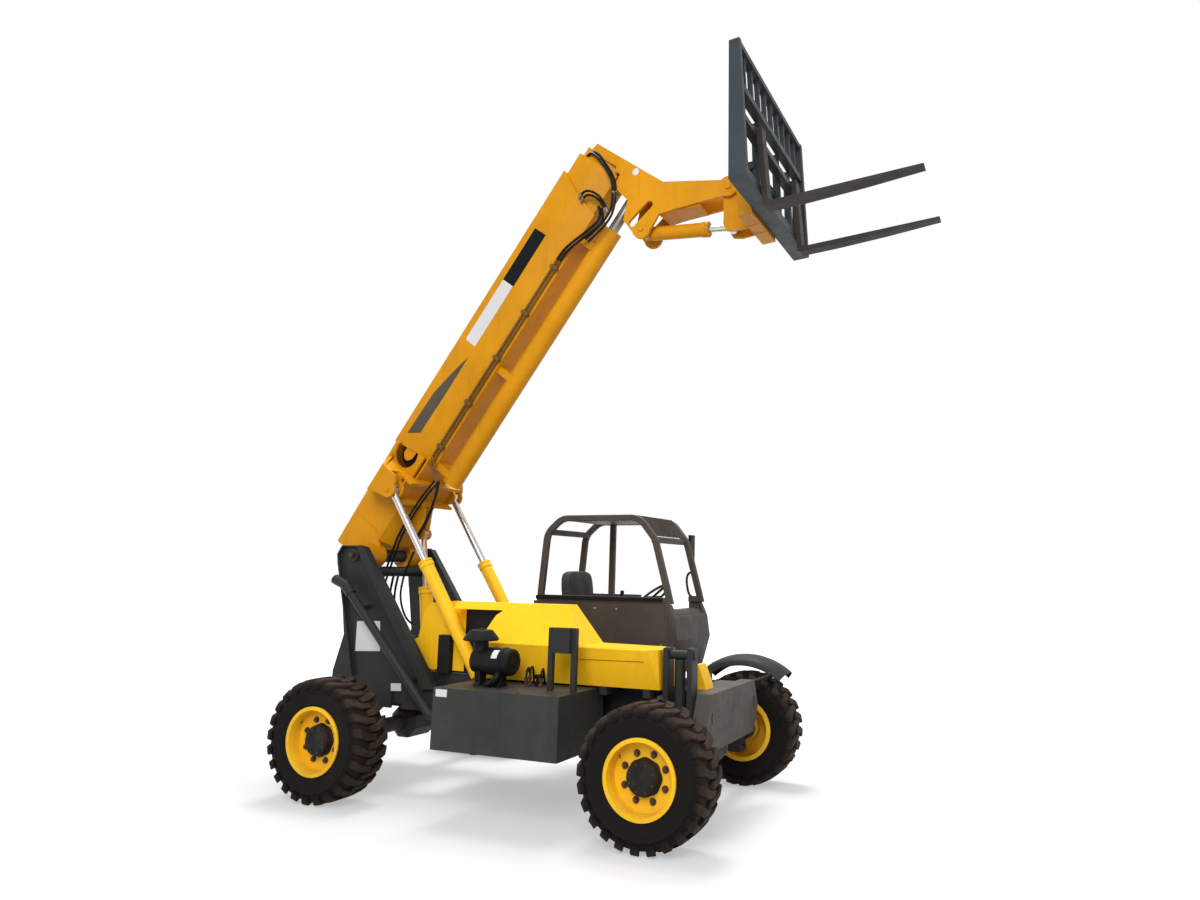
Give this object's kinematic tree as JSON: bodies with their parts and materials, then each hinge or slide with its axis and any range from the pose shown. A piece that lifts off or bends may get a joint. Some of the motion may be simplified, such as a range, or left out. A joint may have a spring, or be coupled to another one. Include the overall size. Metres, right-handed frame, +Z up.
{
  "type": "telehandler",
  "caption": "Rough-terrain telehandler with a raised two-stage boom, an offset open cab, four steered wheels and a pallet-fork carriage; its right front fender is missing.",
  "frame": {"origin": "on the ground under the middle of the whole machine, fork tips included", "axes": "+X forward along the boom, +Y the operator's left, +Z up"},
  "size_m": [5.6575, 2.44, 5.9852],
  "materials": {
    "black_plastic": "matt",
    "boom_yellow": "satin",
    "cab_grey": "satin",
    "carriage_grey": "satin",
    "bare_iron": "matt",
    "rusty_pipe": "matt",
    "rod_chrome": "polished",
    "fork_steel": "satin",
    "chassis_grey": "satin",
    "body_yellow": "gloss",
    "seat_vinyl": "matt",
    "tyre_rubber": "matt"
  },
  "bodies": {
    "chassis": {"air_cleaner": "black_plastic", "cab_frame": "cab_grey", "cab_roof": "cab_grey", "cab_shell": "cab_grey", "engine_block": "bare_iron", "exhaust": "rusty_pipe", "fender_front_left": "black_plastic", "frame_brackets": "chassis_grey", "front_axle": "chassis_grey", "front_box": "cab_grey", "hood": "body_yellow", "level_cylinder": "carriage_grey", "main_frame": "chassis_grey", "mirror": "black_plastic", "post_frame": "chassis_grey", "rear_axle": "chassis_grey", "rear_towers": "chassis_grey", "roof_grille": "cab_grey", "seat": "seat_vinyl", "steering_column": "black_plastic", "tank": "chassis_grey", "valve_box": "chassis_grey"},
    "boom": {"boom_outer": "boom_yellow", "extension_barrel": "boom_yellow", "boom_saddle": "boom_yellow", "chain_wheels": "bare_iron"},
    "boom_middle": {"boom_mid": "boom_yellow", "extension_rod": "rod_chrome"},
    "boom_head": {"boom_inner": "boom_yellow"},
    "carriage": {"quick_attach": "body_yellow", "carriage": "carriage_grey", "forks": "fork_steel"},
    "lift_barrel_left": {"lift_barrel_left": "body_yellow"},
    "lift_rod_left": {"lift_rod_left": "rod_chrome"},
    "lift_barrel_right": {"lift_barrel_right": "body_yellow"},
    "lift_rod_right": {"lift_rod_right": "rod_chrome"},
    "slave_barrel": {"slave_barrel": "body_yellow"},
    "slave_rod": {"slave_rod": "rod_chrome"},
    "tilt_barrel": {"tilt_barrel": "body_yellow"},
    "tilt_rod": {"tilt_rod": "rod_chrome"},
    "knuckle_front_left": {"knuckle_front_left": "bare_iron"},
    "wheel_front_left": {"rim_front_left": "body_yellow", "tyre_front_left": "tyre_rubber"},
    "knuckle_front_right": {"knuckle_front_right": "bare_iron"},
    "wheel_front_right": {"rim_front_right": "body_yellow", "tyre_front_right": "tyre_rubber"},
    "knuckle_rear_left": {"knuckle_rear_left": "bare_iron"},
    "wheel_rear_left": {"rim_rear_left": "body_yellow", "tyre_rear_left": "tyre_rubber"},
    "knuckle_rear_right": {"knuckle_rear_right": "bare_iron"},
    "wheel_rear_right": {"rim_rear_right": "body_yellow", "tyre_rear_right": "tyre_rubber"}
  },
  "joints": [
    {"name": "boom_lift", "type": "hinge", "parent": "chassis", "child": "boom", "pos_m": [-2.391, 0, 1.992], "axis": [0, -1, 0], "range_deg": [-58, 14]},
    {"name": "boom_extend", "type": "slide", "parent": "boom", "child": "boom_middle", "axis": [0.585, 0, 0.8111], "range_m": [0, 2.4]},
    {"name": "boom_head_extend", "type": "slide", "parent": "boom_middle", "child": "boom_head", "axis": [0.585, 0, 0.8111], "range_m": [0, 2.4]},
    {"name": "fork_tilt", "type": "hinge", "parent": "boom_head", "child": "carriage", "pos_m": [1.136, 0, 5.17], "axis": [0, -1, 0], "range_deg": [-28, 64]},
    {"name": "lift_swing_left", "type": "hinge", "parent": "chassis", "child": "lift_barrel_left", "pos_m": [-0.924, 0.43, 0.9], "axis": [0, -1, 0], "range_deg": [-0.33, 0.44]},
    {"name": "lift_stroke_left", "type": "slide", "parent": "lift_barrel_left", "child": "lift_rod_left", "axis": [-0.548, 0, 0.8364], "range_m": [-0.6822, 0.1677]},
    {"name": "lift_swing_right", "type": "hinge", "parent": "chassis", "child": "lift_barrel_right", "pos_m": [-0.924, -0.43, 0.9], "axis": [0, -1, 0], "range_deg": [-0.33, 0.44]},
    {"name": "lift_stroke_right", "type": "slide", "parent": "lift_barrel_right", "child": "lift_rod_right", "axis": [-0.548, 0, 0.8364], "range_m": [-0.6822, 0.1677]},
    {"name": "slave_swing", "type": "hinge", "parent": "chassis", "child": "slave_barrel", "pos_m": [-1.844, 0, 0.95], "axis": [0, -1, 0], "range_deg": [-0.4, 0.73]},
    {"name": "slave_stroke", "type": "slide", "parent": "slave_barrel", "child": "slave_rod", "axis": [-0.1221, 0, 0.9925], "range_m": [-0.4241, 0.1054]},
    {"name": "tilt_swing", "type": "hinge", "parent": "boom_head", "child": "tilt_barrel", "pos_m": [0.314, 0, 4.901], "axis": [0, -1, 0], "range_deg": [-3.38, 7.34]},
    {"name": "tilt_stroke", "type": "slide", "parent": "tilt_barrel", "child": "tilt_rod", "axis": [0.9981, 0, -0.0619], "range_m": [-0.1421, 0.3196]},
    {"name": "front_steer_left", "type": "hinge", "parent": "chassis", "child": "knuckle_front_left", "pos_m": [0.931, 0.85, 0.492], "axis": [0, 0, 1], "range_deg": [-35, 35]},
    {"name": "wheel_front_left", "type": "hinge", "parent": "knuckle_front_left", "child": "wheel_front_left", "pos_m": [0.931, 1.0425, 0.492], "axis": [0, 1, 0], "continuous": true},
    {"name": "front_steer_right", "type": "hinge", "parent": "chassis", "child": "knuckle_front_right", "pos_m": [0.931, -0.85, 0.492], "axis": [0, 0, 1], "range_deg": [-35, 35]},
    {"name": "wheel_front_right", "type": "hinge", "parent": "knuckle_front_right", "child": "wheel_front_right", "pos_m": [0.931, -1.0425, 0.492], "axis": [0, 1, 0], "continuous": true},
    {"name": "rear_steer_left", "type": "hinge", "parent": "chassis", "child": "knuckle_rear_left", "pos_m": [-1.979, 0.85, 0.492], "axis": [0, 0, 1], "range_deg": [-35, 35]},
    {"name": "wheel_rear_left", "type": "hinge", "parent": "knuckle_rear_left", "child": "wheel_rear_left", "pos_m": [-1.979, 1.0425, 0.492], "axis": [0, 1, 0], "continuous": true},
    {"name": "rear_steer_right", "type": "hinge", "parent": "chassis", "child": "knuckle_rear_right", "pos_m": [-1.979, -0.85, 0.492], "axis": [0, 0, 1], "range_deg": [-35, 35]},
    {"name": "wheel_rear_right", "type": "hinge", "parent": "knuckle_rear_right", "child": "wheel_rear_right", "pos_m": [-1.979, -1.0425, 0.492], "axis": [0, 1, 0], "continuous": true}
  ],
  "couplings": [
    {"joint": "boom_head_extend", "follows": "boom_extend", "ratio": 1},
    {"joint": "lift_swing_left", "follows": "boom_lift", "ratio": -0.0025},
    {"joint": "lift_stroke_left", "follows": "boom_lift", "m_per_rad": 0.67},
    {"joint": "lift_swing_right", "follows": "boom_lift", "ratio": -0.0025},
    {"joint": "lift_stroke_right", "follows": "boom_lift", "m_per_rad": 0.67},
    {"joint": "slave_swing", "follows": "boom_lift", "ratio": -0.0075},
    {"joint": "slave_stroke", "follows": "boom_lift", "m_per_rad": 0.415},
    {"joint": "tilt_swing", "follows": "fork_tilt", "ratio": 0.11},
    {"joint": "tilt_stroke", "follows": "fork_tilt", "m_per_rad": 0.2825},
    {"joint": "front_steer_right", "follows": "front_steer_left", "ratio": 1},
    {"joint": "rear_steer_right", "follows": "rear_steer_left", "ratio": 1}
  ]
}
